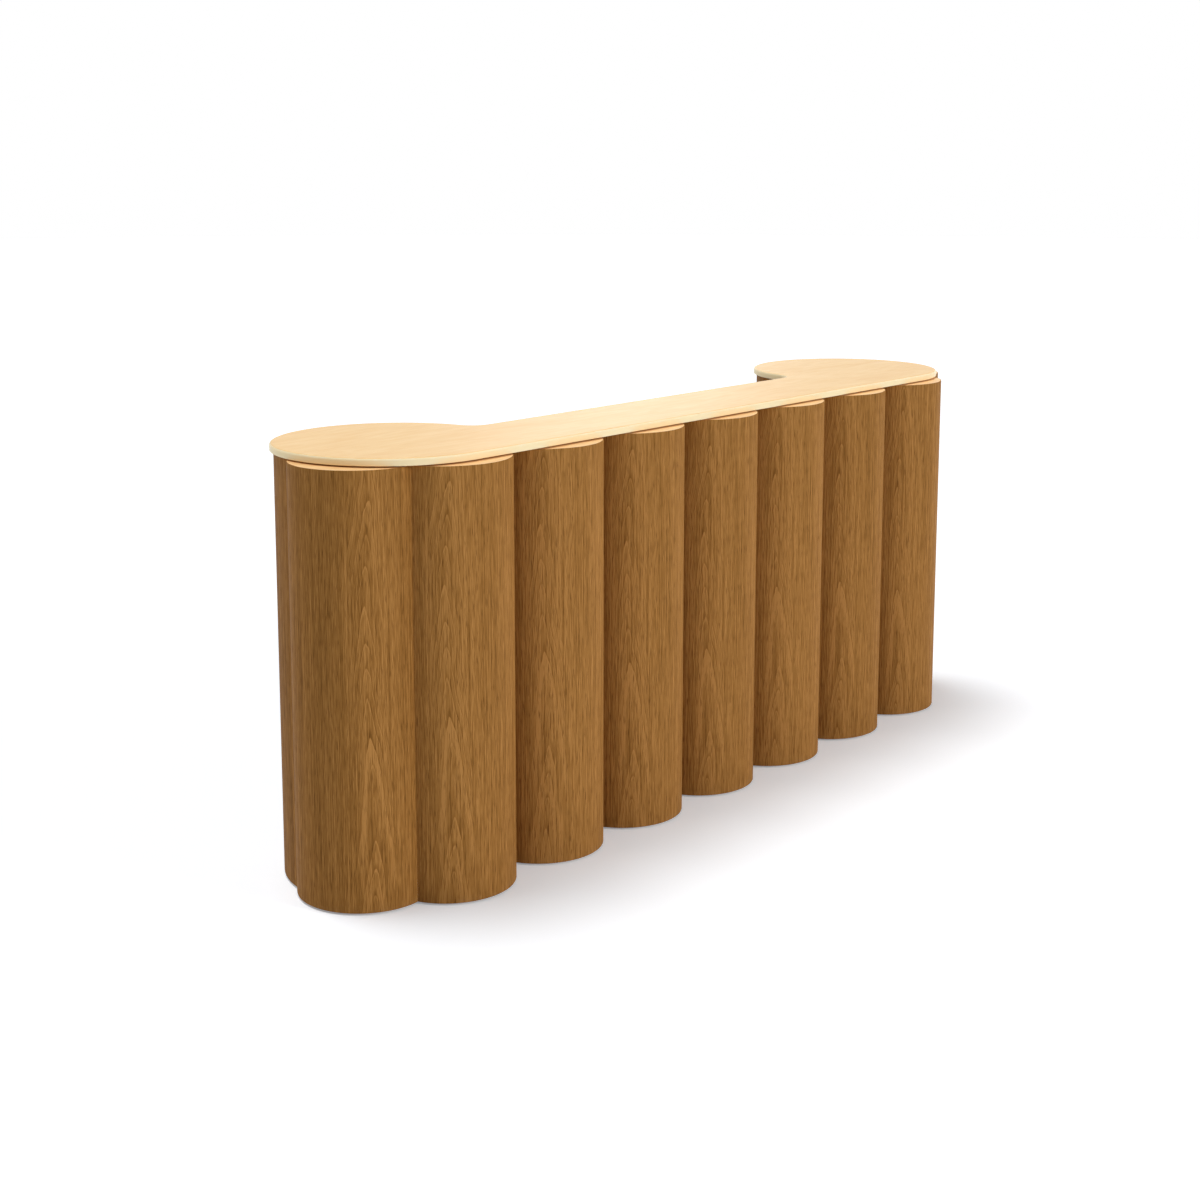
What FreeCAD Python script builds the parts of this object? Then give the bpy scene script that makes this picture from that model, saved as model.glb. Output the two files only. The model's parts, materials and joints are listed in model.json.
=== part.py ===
import FreeCAD, Part
import Sketcher
import os

# Counter-height table: a row of half-round veneered columns in front of a hollow
# carcass with two round ends, under a thin dog-bone shaped top.
# X runs along the length, the columns face -Y and Z is up from the floor.

rowColumns = 7
ends = (("left", -1), ("right", 1))
lobeScrewAngles = (45, 135, 225, 315)
bridgeScrewSteps = (-1.5, -0.5, 0.5, 1.5)

# Driving dimensions, in millimetres and degrees
sizes = {
    "columnRadius": 139.7,
    "columnGap": 0.6,
    "shellWall": 9.0,
    "rimWall": 1.5,
    "skinWall": 9.0,
    "fitGap": 0.3,
    "floorGap": 4.0,
    "carcassTop": 897.0,
    "capLip": 4.0,
    "capPlug": 14.0,
    "boardThickness": 18.0,
    "backerThickness": 12.0,
    "baseLift": 24.0,
    "middleHeight": 450.0,
    "endTurn": 33.0,
    "endMitre": 50.9,
    "endBackerLength": 220.0,
    "lobeOut": 8.0,
    "lobeBack": 146.0,
    "topLobeRadius": 248.0,
    "topOverhang": 8.0,
    "bridgeBack": 149.0,
    "neckRadius": 48.0,
    "topGap": 3.0,
    "topThickness": 15.0,
    "topEase": 2.0,
    "spacerRadius": 20.0,
    "lobeScrewCircle": 135.0,
    "topScrewRadius": 2.0,
    "topScrewGrip": 10.0,
    "topScrewHeadRadius": 4.0,
    "topScrewHeadHeight": 3.0,
    "columnScrewRadius": 2.0,
    "columnScrewGrip": 30.0,
    "columnScrewHeadRadius": 4.0,
    "columnScrewHeadHeight": 3.0,
    "screwClearance": 0.3,
    "threadClearance": 0.05,
    "footFront": 60.0,
    "footOuter": 105.0,
    "footRear": 150.0,
    "padRadius": 22.0,
    "padNeckRadius": 15.0,
    "padHeight": 10.0,
    "padSocket": 6.0,
    "stemRadius": 5.0,
    "stemLength": 66.0,
    "collarRadius": 9.5,
    "insertWall": 2.0,
    "flangeRadius": 12.0,
    "flangeThickness": 2.0,
}

# Places and angles that follow from the driving dimensions
layout = {
    "pitch": "2 * columnRadius + columnGap",
    "rowHalf": f"{(rowColumns - 1) / 2} * pitch",
    "rowY": "(columnRadius - lobeBack - topLobeRadius) / 2",
    "lobeX": "rowHalf + lobeOut",
    "lobeY": "rowY + lobeBack",
    "drumRadius": "topLobeRadius - topOverhang",
    "drumInside": "drumRadius - skinWall",
    "mitreHalf": "endMitre * 1 deg",
    "endReach": "2 * columnRadius * cos(mitreHalf)",
    "endX": "rowHalf + endReach * cos(endTurn * 1 deg)",
    "endY": "rowY + endReach * sin(endTurn * 1 deg)",
    "endDistance": "sqrt((endX - lobeX) ^ 2 + (endY - lobeY) ^ 2)",
    "endFacing": "asin((endY - lobeY) / endDistance)",
    "gapTurn": "asin(columnGap / 2 / columnRadius)",
    "mitreEnd": "endTurn * 1 deg - mitreHalf - gapTurn",
    "endStart": "180 deg + endTurn * 1 deg + mitreHalf + gapTurn",
    "drumHalf": "acos((drumRadius ^ 2 - endDistance ^ 2 - columnRadius ^ 2)"
                " / (2 * endDistance * columnRadius))",
    "drumTurn": "acos((drumRadius ^ 2 + endDistance ^ 2 - columnRadius ^ 2)"
                " / (2 * endDistance * drumRadius))",
    "endStop": "endFacing + drumHalf - gapTurn",
    "endSpan": "360 deg + endStop - endStart",
    "endSwing": "(endStart + endStop) / 2 - 90 deg",
    "skinStart": "endFacing + drumTurn + gapTurn",
    "bridgeBackY": "rowY + bridgeBack",
    "panelBackY": "bridgeBackY - topOverhang",
    "neckY": "bridgeBackY + neckRadius",
    "neckTilt": "asin((neckY - lobeY) / (topLobeRadius + neckRadius))",
    "neckX": "lobeX - (topLobeRadius + neckRadius) * cos(neckTilt)",
    "neckOutside": "neckRadius + topOverhang",
    "shellInside": "columnRadius - shellWall",
    "plugRadius": "shellInside - fitGap",
    "capSeat": "carcassTop - capLip",
    "rimInside": "columnRadius - rimWall",
    "wallHeight": "carcassTop - floorGap",
    "baseTop": "baseLift + boardThickness",
    "subTopLow": "carcassTop - boardThickness",
    "topLow": "carcassTop + topGap",
    "carcassFront": "rowY + backerThickness + fitGap",
    "endClear": "rowY + columnRadius * sin(mitreEnd) + fitGap",
    "boardBackY": "panelBackY - skinWall - fitGap",
    "boardLobeRadius": "drumInside - fitGap",
    "cutLength": "4 * topLobeRadius",
    "bridgeScrewY": "(carcassFront + boardBackY) / 2",
    "collarHeight": "baseLift - flangeThickness - padHeight - 2 * fitGap",
    "insertBore": "stemRadius + threadClearance",
    "insertRadius": "insertBore + insertWall",
}

doc = FreeCAD.newDocument("CounterTable")
sheet = doc.addObject("Spreadsheet::Sheet", "dim")


def fillSheet():
    row = 0
    for alias, value in sizes.items():
        row += 1
        sheet.set(f"A{row}", alias)
        sheet.set(f"B{row}", str(value))
        sheet.setAlias(f"B{row}", alias)
    doc.recompute()
    for alias, formula in layout.items():
        row += 1
        sheet.set(f"A{row}", alias)
        sheet.set(f"B{row}", "=" + formula)
        sheet.setAlias(f"B{row}", alias)
        doc.recompute()


def bind(thing, **formulas):
    for name, formula in formulas.items():
        thing.setExpression(name, formula)
    return thing


def place(thing, x="0", y="0", z="0", turn=None):
    thing.setExpression("Placement.Base.x", x)
    thing.setExpression("Placement.Base.y", y)
    thing.setExpression("Placement.Base.z", z)
    if turn:
        thing.setExpression("Placement.Rotation.Angle", turn)
    return thing


def cylinder(name, radius, height, x="0", y="0", z="0", turn=None, span=None):
    solid = doc.addObject("Part::Cylinder", name)
    bind(solid, Radius=radius, Height=height)
    if span:
        bind(solid, Angle=span)
    return place(solid, x, y, z, turn)


def box(name, length, width, height, x="0", y="0", z="0", turn=None):
    solid = doc.addObject("Part::Box", name)
    bind(solid, Length=length, Width=width, Height=height)
    return place(solid, x, y, z, turn)


def fuse(name, pieces):
    whole = doc.addObject("Part::MultiFuse", name)
    whole.Shapes = pieces
    return whole


def cut(name, base, tools):
    result = doc.addObject("Part::Cut", name)
    result.Base = base
    result.Tool = tools[0] if len(tools) == 1 else fuse(name + "_cutters", tools)
    return result


def group(name, pieces):
    several = doc.addObject("Part::Compound", name)
    several.Links = pieces
    return several


def lying(name, radius, length, x, y, z, turn, reach):
    # A round bar that runs towards -Y from a start that lies behind the column's centre
    bar = doc.addObject("Part::Cylinder", name + "_bar")
    bind(bar, Radius=radius, Height=length)
    bar.Placement.Rotation = FreeCAD.Rotation(FreeCAD.Vector(1, 0, 0), 90)
    bar.setExpression("Placement.Base.y", reach)
    return place(group(name, [bar]), x, y, z, turn)


# Columns from left to right: place, first angle, span and the way they face
def columnList():
    middle = (rowColumns + 1) // 2
    found = [("-dim.endX", "dim.endY", "180 deg - dim.endStop", "dim.endSpan", "-dim.endSwing")]
    for step in range(1, rowColumns + 1):
        x = f"{step - middle} * dim.pitch"
        start, span = "180 deg", "180 deg"
        if step == 1:
            start, span = "180 deg - dim.mitreEnd", "180 deg + dim.mitreEnd"
        if step == rowColumns:
            span = "180 deg + dim.mitreEnd"
        found.append((x, "dim.rowY", start, span, "0 deg"))
    found.append(("dim.endX", "dim.endY", "dim.endStart", "dim.endSpan", "dim.endSwing"))
    return found


def sectorShell(name, outside, inside, height, x, y, z, start, span):
    whole = cylinder(name + "_outside", outside, height, x, y, z, start, span)
    hollow = cylinder(name + "_inside", inside, height, x, y, z)
    return cut(name, whole, [hollow])


def screwBore(name, z, column, radius, deep):
    # Straight hole along a column screw, from the back of the backing board
    x, y, start, span, swing = column
    return lying(name, radius, deep, x, y, z, swing, "dim.backerThickness + dim.fitGap")


capScrewZ = "dim.capSeat - dim.capPlug / 2"
baseScrewZ = "dim.baseLift + dim.boardThickness / 2"
screwReach = "dim.backerThickness + dim.columnScrewGrip"
pilotRadius = "dim.columnScrewRadius + dim.threadClearance"
pilotDepth = screwReach + " + 2 * dim.fitGap"


def columnShell(number, column):
    x, y, start, span, swing = column
    name = f"column_shell_{number}"
    wall = sectorShell(name + "_wall", "dim.columnRadius", "dim.shellInside",
                       "dim.wallHeight", x, y, "dim.floorGap", start, span)
    rebate = cylinder(name + "_rebate", "dim.rimInside", "dim.capLip", x, y, "dim.capSeat")
    return cut(name, wall, [rebate])


def columnCap(number, column):
    x, y, start, span, swing = column
    name = f"column_cap_{number}"
    lip = cylinder(name + "_lip", "dim.rimInside - dim.fitGap", "dim.capLip",
                   x, y, "dim.capSeat", start, span)
    plug = cylinder(name + "_plug", "dim.plugRadius", "dim.capPlug",
                    x, y, "dim.capSeat - dim.capPlug", start, span)
    pilot = screwBore(name + "_pilot", capScrewZ, column, pilotRadius, pilotDepth)
    return cut(name, fuse(name + "_blank", [lip, plug]), [pilot])


def columnBase(number, column, feet):
    x, y, start, span, swing = column
    name = f"column_base_{number}"
    disc = cylinder(name + "_disc", "dim.plugRadius", "dim.boardThickness",
                    x, y, "dim.baseLift", start, span)
    pilot = screwBore(name + "_pilot", baseScrewZ, column, pilotRadius, pilotDepth)
    return cut(name, disc, [pilot] + insertHoles(name, feet))


def columnScrew(name, column, z):
    x, y, start, span, swing = column
    head = lying(name + "_head", "dim.columnScrewHeadRadius", "dim.columnScrewHeadHeight",
                 x, y, z, swing, "dim.backerThickness")
    shank = lying(name + "_shank", "dim.columnScrewRadius", screwReach,
                  x, y, z, swing, "dim.backerThickness")
    return fuse(name, [head, shank])


def backerHoles(name, columns):
    holes = []
    for number, column in columns:
        x, y, start, span, swing = column
        for level, z in (("cap", capScrewZ), ("base", baseScrewZ)):
            mark = f"{name}_{level}_{number}"
            holes.append(screwBore(mark + "_hole", z, column,
                                   "dim.columnScrewRadius + dim.screwClearance", pilotDepth))
            holes.append(screwBore(mark + "_seat", z, column,
                                   "dim.columnScrewHeadRadius + dim.screwClearance",
                                   "dim.columnScrewHeadHeight + 2 * dim.fitGap"))
    return holes


# Levelling feet: two under the end columns of the row, the others under the carcass
def footPlaces():
    found = []
    for word, side in ends:
        found.append((f"{side} * dim.rowHalf", "dim.rowY - dim.footFront"))
        found.append((f"{side} * (dim.lobeX + dim.footOuter)", "dim.lobeY"))
        found.append((f"{side} * dim.lobeX", "dim.lobeY + dim.footRear"))
    return found


def insertHoles(name, feet):
    return [cylinder(f"{name}_insert_hole_{count}", "dim.insertRadius + dim.threadClearance",
                     "dim.boardThickness", x, y, "dim.baseLift")
            for count, (x, y) in enumerate(feet)]


def footInsert(name, x, y):
    sleeve = cylinder(name + "_sleeve", "dim.insertRadius", "dim.boardThickness", x, y, "dim.baseLift")
    flange = cylinder(name + "_flange", "dim.flangeRadius", "dim.flangeThickness",
                      x, y, "dim.baseLift - dim.flangeThickness")
    bore = cylinder(name + "_bore", "dim.insertBore", "dim.boardThickness + dim.flangeThickness",
                    x, y, "dim.baseLift - dim.flangeThickness")
    return cut(name, fuse(name + "_blank", [sleeve, flange]), [bore])


def footStem(number, x, y):
    name = f"foot_stem_{number}"
    rod = cylinder(name + "_rod", "dim.stemRadius", "dim.stemLength",
                   x, y, "dim.padHeight - dim.padSocket + dim.fitGap")
    collar = doc.addObject("Part::Prism", name + "_collar")
    collar.Polygon = 6
    bind(collar, Circumradius="dim.collarRadius", Height="dim.collarHeight")
    place(collar, x, y, "dim.padHeight + dim.fitGap")
    return fuse(name, [rod, collar])


def footPad(number, x, y):
    name = f"foot_pad_{number}"
    pad = doc.addObject("Part::Cone", name + "_cone")
    bind(pad, Radius1="dim.padRadius", Radius2="dim.padNeckRadius", Height="dim.padHeight")
    place(pad, x, y)
    socket = cylinder(name + "_socket", "dim.insertBore", "dim.padSocket",
                      x, y, "dim.padHeight - dim.padSocket")
    return cut(name, pad, [socket])


# Carcass boards share one plan: two discs and a bridge, cut back to the backing boards
def carcassBoard(name, z, holes):
    discs = [cylinder(f"{name}_disc_{word}", "dim.boardLobeRadius", "dim.boardThickness",
                      f"{side} * dim.lobeX", "dim.lobeY", z) for word, side in ends]
    bridge = box(name + "_bridge", "2 * dim.lobeX", "dim.boardBackY - dim.rowY", "dim.boardThickness",
                 "-dim.lobeX", "dim.rowY", z)
    front = box(name + "_front", "dim.cutLength * 2", "dim.cutLength", "dim.boardThickness",
                "-dim.cutLength", "dim.carcassFront - dim.cutLength", z)
    cutters = [front] + holes
    for word, side in ends:
        corner = "-dim.rowHalf - dim.cutLength" if side < 0 else "dim.rowHalf"
        cutters.append(box(f"{name}_corner_{word}", "dim.cutLength", "dim.cutLength", "dim.boardThickness",
                           corner, "dim.endClear - dim.cutLength", z))
        cutters.append(endCutter(f"{name}_end_{word}", side, z))
    return cut(name, fuse(name + "_blank", discs + [bridge]), cutters)


def endCutter(name, side, z):
    # Takes off everything in front of an end column's backing board
    slab = box(name + "_slab", "dim.cutLength", "dim.cutLength", "dim.boardThickness",
               "-dim.cutLength / 2", "dim.backerThickness + dim.fitGap - dim.cutLength")
    return place(group(name, [slab]), f"{side} * dim.endX", "dim.endY", z, f"{side} * dim.endSwing")


def frontBacker(columns):
    board = box("front_backer_blank", "2 * dim.rowHalf", "dim.backerThickness", "dim.wallHeight",
                "-dim.rowHalf", "dim.rowY", "dim.floorGap")
    return cut("front_backer", board, backerHoles("front_backer", columns))


def endBacker(name, side, numbered):
    board = box(name + "_board", "dim.endBackerLength", "dim.backerThickness", "dim.wallHeight",
                "-dim.endBackerLength / 2", "0")
    blank = place(group(name + "_blank", [board]), f"{side} * dim.endX", "dim.endY", "dim.floorGap",
                  f"{side} * dim.endSwing")
    return cut(name, blank, backerHoles(name, [numbered]))


def endSkin(name, side):
    start = "dim.skinStart" if side > 0 else "dim.neckTilt"
    return sectorShell(name, "dim.drumRadius", "dim.drumInside", "dim.wallHeight",
                       f"{side} * dim.lobeX", "dim.lobeY", "dim.floorGap",
                       start, "180 deg - dim.neckTilt - dim.skinStart")


def neckPanel(name, side):
    start = "270 deg" if side > 0 else "180 deg + dim.neckTilt"
    return sectorShell(name, "dim.neckOutside + dim.skinWall", "dim.neckOutside", "dim.wallHeight",
                       f"{side} * dim.neckX", "dim.neckY", "dim.floorGap",
                       start, "90 deg - dim.neckTilt")


def rearPanel():
    return box("rear_panel", "2 * dim.neckX", "dim.skinWall", "dim.wallHeight",
               "-dim.neckX", "dim.panelBackY - dim.skinWall", "dim.floorGap")


# Screws and spacers that hold the top clear of the carcass
def topScrewPlaces():
    found = []
    for word, side in ends:
        for angle in lobeScrewAngles:
            found.append((f"{side} * dim.lobeX + dim.lobeScrewCircle * cos({angle} deg)",
                          f"dim.lobeY + dim.lobeScrewCircle * sin({angle} deg)"))
    for step in bridgeScrewSteps:
        found.append((f"{step} * dim.pitch", "dim.bridgeScrewY"))
    return found


def topSpacer(name, x, y):
    disc = cylinder(name + "_disc", "dim.spacerRadius", "dim.topGap", x, y, "dim.carcassTop")
    hole = cylinder(name + "_hole", "dim.topScrewRadius + dim.screwClearance", "dim.topGap",
                    x, y, "dim.carcassTop")
    return cut(name, disc, [hole])


def topScrew(name, x, y):
    head = cylinder(name + "_head", "dim.topScrewHeadRadius", "dim.topScrewHeadHeight",
                    x, y, "dim.subTopLow - dim.topScrewHeadHeight")
    shank = cylinder(name + "_shank", "dim.topScrewRadius",
                     "dim.boardThickness + dim.topGap + dim.topScrewGrip", x, y, "dim.subTopLow")
    return fuse(name, [head, shank])


def topScrewHoles(name, radius, depth, z, places):
    return [cylinder(f"{name}_screw_hole_{count}", radius, depth, x, y, z)
            for count, (x, y) in enumerate(places)]


def outlineSketch(body):
    # Dog-bone outline, drawn from the middle of the row line
    plane = [p for p in body.Origin.OriginFeatures if p.Role == "XY_Plane"][0]
    sketch = body.newObject("Sketcher::SketchObject", "top_outline")
    sketch.AttachmentSupport = (plane, [""])
    sketch.MapMode = "FlatFace"
    lobeX, lobeBack = sheet.lobeX, sheet.lobeBack
    lobe, neck = sheet.topLobeRadius, sheet.neckRadius
    neckX, back = sheet.neckX, sheet.bridgeBack
    tilt = FreeCAD.Units.Quantity(sheet.neckTilt).getValueAs("rad").Value
    half = FreeCAD.Units.Quantity("180 deg").getValueAs("rad").Value
    point = FreeCAD.Vector
    up = point(0, 0, 1)

    def arc(x, y, radius, first, last):
        return Part.ArcOfCircle(Part.Circle(point(x, y, 0), up, radius), first, last)

    front = sketch.addGeometry(Part.LineSegment(point(-lobeX, lobeBack - lobe, 0),
                                                point(lobeX, lobeBack - lobe, 0)))
    rightLobe = sketch.addGeometry(arc(lobeX, lobeBack, lobe, -half / 2, half - tilt))
    rightNeck = sketch.addGeometry(arc(neckX, back + neck, neck, -half / 2, -tilt))
    rear = sketch.addGeometry(Part.LineSegment(point(neckX, back, 0), point(-neckX, back, 0)))
    leftNeck = sketch.addGeometry(arc(-neckX, back + neck, neck, half + tilt, 1.5 * half))
    leftLobe = sketch.addGeometry(arc(-lobeX, lobeBack, lobe, tilt, 1.5 * half))
    start, end, centre, origin, yAxis = 1, 2, 3, -1, -2
    rules = [
        Sketcher.Constraint("Tangent", front, end, rightLobe, start),
        Sketcher.Constraint("Tangent", rightLobe, end, rightNeck, end),
        Sketcher.Constraint("Tangent", rightNeck, start, rear, start),
        Sketcher.Constraint("Tangent", rear, end, leftNeck, end),
        Sketcher.Constraint("Tangent", leftNeck, start, leftLobe, start),
        Sketcher.Constraint("Tangent", leftLobe, end, front, start),
        Sketcher.Constraint("Symmetric", leftLobe, centre, rightLobe, centre, yAxis),
        Sketcher.Constraint("Equal", rightLobe, leftLobe),
        Sketcher.Constraint("Equal", rightNeck, leftNeck),
        Sketcher.Constraint("Horizontal", rear),
    ]
    for rule in rules:
        sketch.addConstraint(rule)
    measured = {
        "lobeRadius": (Sketcher.Constraint("Radius", rightLobe, lobe), "dim.topLobeRadius"),
        "neckRadius": (Sketcher.Constraint("Radius", rightNeck, neck), "dim.neckRadius"),
        "lobeAcross": (Sketcher.Constraint("DistanceX", origin, 1, rightLobe, centre, lobeX), "dim.lobeX"),
        "lobeBack": (Sketcher.Constraint("DistanceY", origin, 1, rightLobe, centre, lobeBack),
                     "dim.lobeBack"),
        "bridgeBack": (Sketcher.Constraint("DistanceY", origin, 1, rear, start, back), "dim.bridgeBack"),
    }
    for name, (rule, formula) in measured.items():
        index = sketch.addConstraint(rule)
        sketch.renameConstraint(index, name)
        sketch.setExpression(f"Constraints.{name}", formula)
    return sketch


def counterTop(places):
    body = doc.addObject("PartDesign::Body", "top_plate_body")
    sketch = outlineSketch(body)
    pad = body.newObject("PartDesign::Pad", "top_plate_pad")
    pad.Profile = sketch
    bind(pad, Length="dim.topThickness")
    doc.recompute()
    rims = [f"Edge{number}" for number, edge in enumerate(pad.Shape.Edges, 1)
            if edge.BoundBox.ZLength < sheet.topEase]
    ease = body.newObject("PartDesign::Fillet", "top_plate_ease")
    ease.Base = (pad, rims)
    bind(ease, Radius="dim.topEase")
    body.Tip = ease
    place(body, "0", "dim.rowY", "dim.topLow")
    holes = topScrewHoles("counter_top", "dim.topScrewRadius + dim.threadClearance",
                          "dim.topScrewGrip + dim.fitGap", "dim.topLow", places)
    return cut("counter_top", body, holes)


def build():
    columns = list(enumerate(columnList(), 1))
    lastColumn = len(columns)
    feet = footPlaces()
    columnFeet = {2: [feet[0]], lastColumn - 1: [feet[3]]}
    carcassFeet = [feet[1], feet[2], feet[4], feet[5]]
    screws = topScrewPlaces()
    nodes = [counterTop(screws)]
    subTopHoles = topScrewHoles("sub_top_board", "dim.topScrewRadius + dim.screwClearance",
                                "dim.boardThickness", "dim.subTopLow", screws)
    nodes.append(carcassBoard("sub_top_board", "dim.subTopLow", subTopHoles))
    nodes.append(carcassBoard("middle_board", "dim.middleHeight", []))
    nodes.append(carcassBoard("base_board", "dim.baseLift", insertHoles("base_board", carcassFeet)))
    nodes.append(frontBacker(columns[1:-1]))
    for word, side, numbered in (("left", -1, columns[0]), ("right", 1, columns[-1])):
        nodes.append(endBacker(f"{word}_end_backer", side, numbered))
        nodes.append(endSkin(f"{word}_end_skin", side))
        nodes.append(neckPanel(f"{word}_neck_panel", side))
    nodes.append(rearPanel())
    for number, column in columns:
        nodes.append(columnShell(number, column))
        nodes.append(columnCap(number, column))
        nodes.append(columnBase(number, column, columnFeet.get(number, [])))
    columnScrews = [columnScrew(f"column_screw_{level}_{number}", column, z)
                    for number, column in columns
                    for level, z in (("cap", capScrewZ), ("base", baseScrewZ))]
    nodes.append(group("column_screws", columnScrews))
    nodes.append(group("top_spacers", [topSpacer(f"top_spacer_{count}", x, y)
                                       for count, (x, y) in enumerate(screws, 1)]))
    nodes.append(group("top_screws", [topScrew(f"top_screw_{count}", x, y)
                                      for count, (x, y) in enumerate(screws, 1)]))
    nodes.append(group("foot_inserts", [footInsert(f"foot_insert_{count}", x, y)
                                        for count, (x, y) in enumerate(feet, 1)]))
    for number, (x, y) in enumerate(feet, 1):
        nodes.append(footStem(number, x, y))
        nodes.append(footPad(number, x, y))
    return nodes


def checkAndWrite(nodes):
    doc.recompute()
    for thing in doc.Objects:
        if "Invalid" in thing.State or "Error" in thing.State:
            raise RuntimeError(f"{thing.Name} failed: {thing.State}")
    for node in nodes:
        node.Label = node.Name
        if node.Shape.isNull() or not node.Shape.isValid() or not node.Shape.Solids:
            raise RuntimeError(f"{node.Label} has no valid solid")
    os.makedirs("parts", exist_ok=True)
    for node in nodes:
        node.Shape.exportStep(f"parts/{node.Label}.step")
    print(len(nodes), "nodes written")


fillSheet()
checkAndWrite(build())
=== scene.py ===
import bpy
import bmesh
import json
import math
from mathutils import Matrix, Vector


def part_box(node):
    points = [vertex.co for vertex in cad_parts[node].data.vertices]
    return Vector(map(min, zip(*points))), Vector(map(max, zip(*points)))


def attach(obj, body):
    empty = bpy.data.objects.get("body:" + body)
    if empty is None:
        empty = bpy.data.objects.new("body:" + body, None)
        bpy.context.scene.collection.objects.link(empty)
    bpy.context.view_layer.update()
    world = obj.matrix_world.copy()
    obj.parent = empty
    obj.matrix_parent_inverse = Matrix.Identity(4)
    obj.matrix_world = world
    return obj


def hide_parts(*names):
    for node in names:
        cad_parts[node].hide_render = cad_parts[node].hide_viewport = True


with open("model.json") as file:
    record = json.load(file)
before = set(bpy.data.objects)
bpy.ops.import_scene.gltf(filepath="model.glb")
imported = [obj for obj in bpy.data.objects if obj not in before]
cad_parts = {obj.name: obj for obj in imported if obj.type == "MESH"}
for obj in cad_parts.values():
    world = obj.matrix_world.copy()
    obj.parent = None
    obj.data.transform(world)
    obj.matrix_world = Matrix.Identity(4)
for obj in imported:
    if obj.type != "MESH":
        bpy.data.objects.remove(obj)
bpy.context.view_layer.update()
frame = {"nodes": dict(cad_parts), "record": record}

nodes = frame["nodes"]
print("frame loaded with", len(nodes), "pieces")


# shader helpers

def toned(red, green, blue):
    # screen colour 0-255 to the linear colour that the shader wants
    shares = [level / 255 for level in (red, green, blue)]
    return tuple(((s + 0.055) / 1.055) ** 2.4 if s > 0.04 else s / 12.92 for s in shares) + (1.0,)


def plug(tree, socket, value):
    if hasattr(value, "is_output"):
        tree.links.new(value, socket)
    elif value is not None:
        socket.default_value = value


def calc(tree, operation, first, second=None, third=None):
    node = tree.nodes.new("ShaderNodeMath")
    node.operation = operation
    for socket, value in zip(node.inputs, (first, second, third)):
        plug(tree, socket, value)
    return node.outputs[0]


def cloud(tree, vector, scale, detail=2.0, roughness=0.5, distortion=0.0):
    # noise from 0 to 1, with a scale of its own along each axis
    scaled = tree.nodes.new("ShaderNodeVectorMath")
    scaled.operation = "MULTIPLY"
    plug(tree, scaled.inputs[0], vector)
    scaled.inputs[1].default_value = scale
    node = tree.nodes.new("ShaderNodeTexNoise")
    node.inputs["Scale"].default_value = 1.0
    node.inputs["Detail"].default_value = detail
    node.inputs["Roughness"].default_value = roughness
    node.inputs["Distortion"].default_value = distortion
    plug(tree, node.inputs["Vector"], scaled.outputs[0])
    return node.outputs["Fac"]


def waver(tree, vector, scale, detail):
    # noise from -0.5 to 0.5
    return calc(tree, "SUBTRACT", cloud(tree, vector, scale, detail), 0.5)


def spread(tree, value, low, high, newLow=0.0, newHigh=1.0):
    node = tree.nodes.new("ShaderNodeMapRange")
    node.interpolation_type = "SMOOTHSTEP"
    for socket, item in zip(node.inputs, (value, low, high, newLow, newHigh)):
        plug(tree, socket, item)
    return node.outputs[0]


def tint(tree, factor, first, second):
    node = tree.nodes.new("ShaderNodeMix")
    node.data_type = "RGBA"
    plug(tree, node.inputs[0], factor)
    plug(tree, node.inputs[6], first)
    plug(tree, node.inputs[7], second)
    return node.outputs[2]


def shades(tree, factor, places, colours):
    node = tree.nodes.new("ShaderNodeValToRGB")
    ramp = node.color_ramp
    while len(ramp.elements) < len(places):
        ramp.elements.new(0.5)
    for element, place, colour in zip(ramp.elements, places, colours):
        element.position = place
        element.color = colour
    plug(tree, node.inputs[0], factor)
    return node.outputs[0]


def blended(tree, figure, weights, tone=0.0):
    # adds up the outputs of a figure, each with its weight
    for label, weight in weights.items():
        tone = calc(tree, "MULTIPLY_ADD", figure[label], weight, tone)
    return tone


def raised(tree, height, strength, distance):
    node = tree.nodes.new("ShaderNodeBump")
    node.inputs["Strength"].default_value = strength
    node.inputs["Distance"].default_value = distance
    plug(tree, node.inputs["Height"], height)
    return node.outputs["Normal"]


def objectPlace(tree):
    return tree.nodes.new("ShaderNodeTexCoord").outputs["Object"]


def attribute(tree, name):
    node = tree.nodes.new("ShaderNodeAttribute")
    node.attribute_name = name
    return node.outputs


def upright(tree, vector):
    # the Z part of a vector
    node = tree.nodes.new("ShaderNodeSeparateXYZ")
    tree.links.new(vector, node.inputs[0])
    return node.outputs[2]


def levelness(tree):
    # 1 on a level face, 0 on an upright one
    normal = tree.nodes.new("ShaderNodeNewGeometry").outputs["Normal"]
    return calc(tree, "ABSOLUTE", upright(tree, normal))


def newGroup(name, inputs, outputs):
    tree = bpy.data.node_groups.new(name, "ShaderNodeTree")
    for label, kind, value in inputs:
        socket = tree.interface.new_socket(label, in_out="INPUT", socket_type=kind)
        if value is not None:
            socket.default_value = value
    for label in outputs:
        tree.interface.new_socket(label, in_out="OUTPUT", socket_type="NodeSocketFloat")
    return tree, tree.nodes.new("NodeGroupInput").outputs, tree.nodes.new("NodeGroupOutput").inputs


def useGroup(tree, group, **values):
    node = tree.nodes.new("ShaderNodeGroup")
    node.node_tree = group
    for label, value in values.items():
        plug(tree, node.inputs[label], value)
    return node.outputs


def newMaterial(name):
    material = bpy.data.materials.new(name)
    material.use_nodes = True
    tree = material.node_tree
    return material, tree, tree.nodes["Principled BSDF"].inputs


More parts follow.
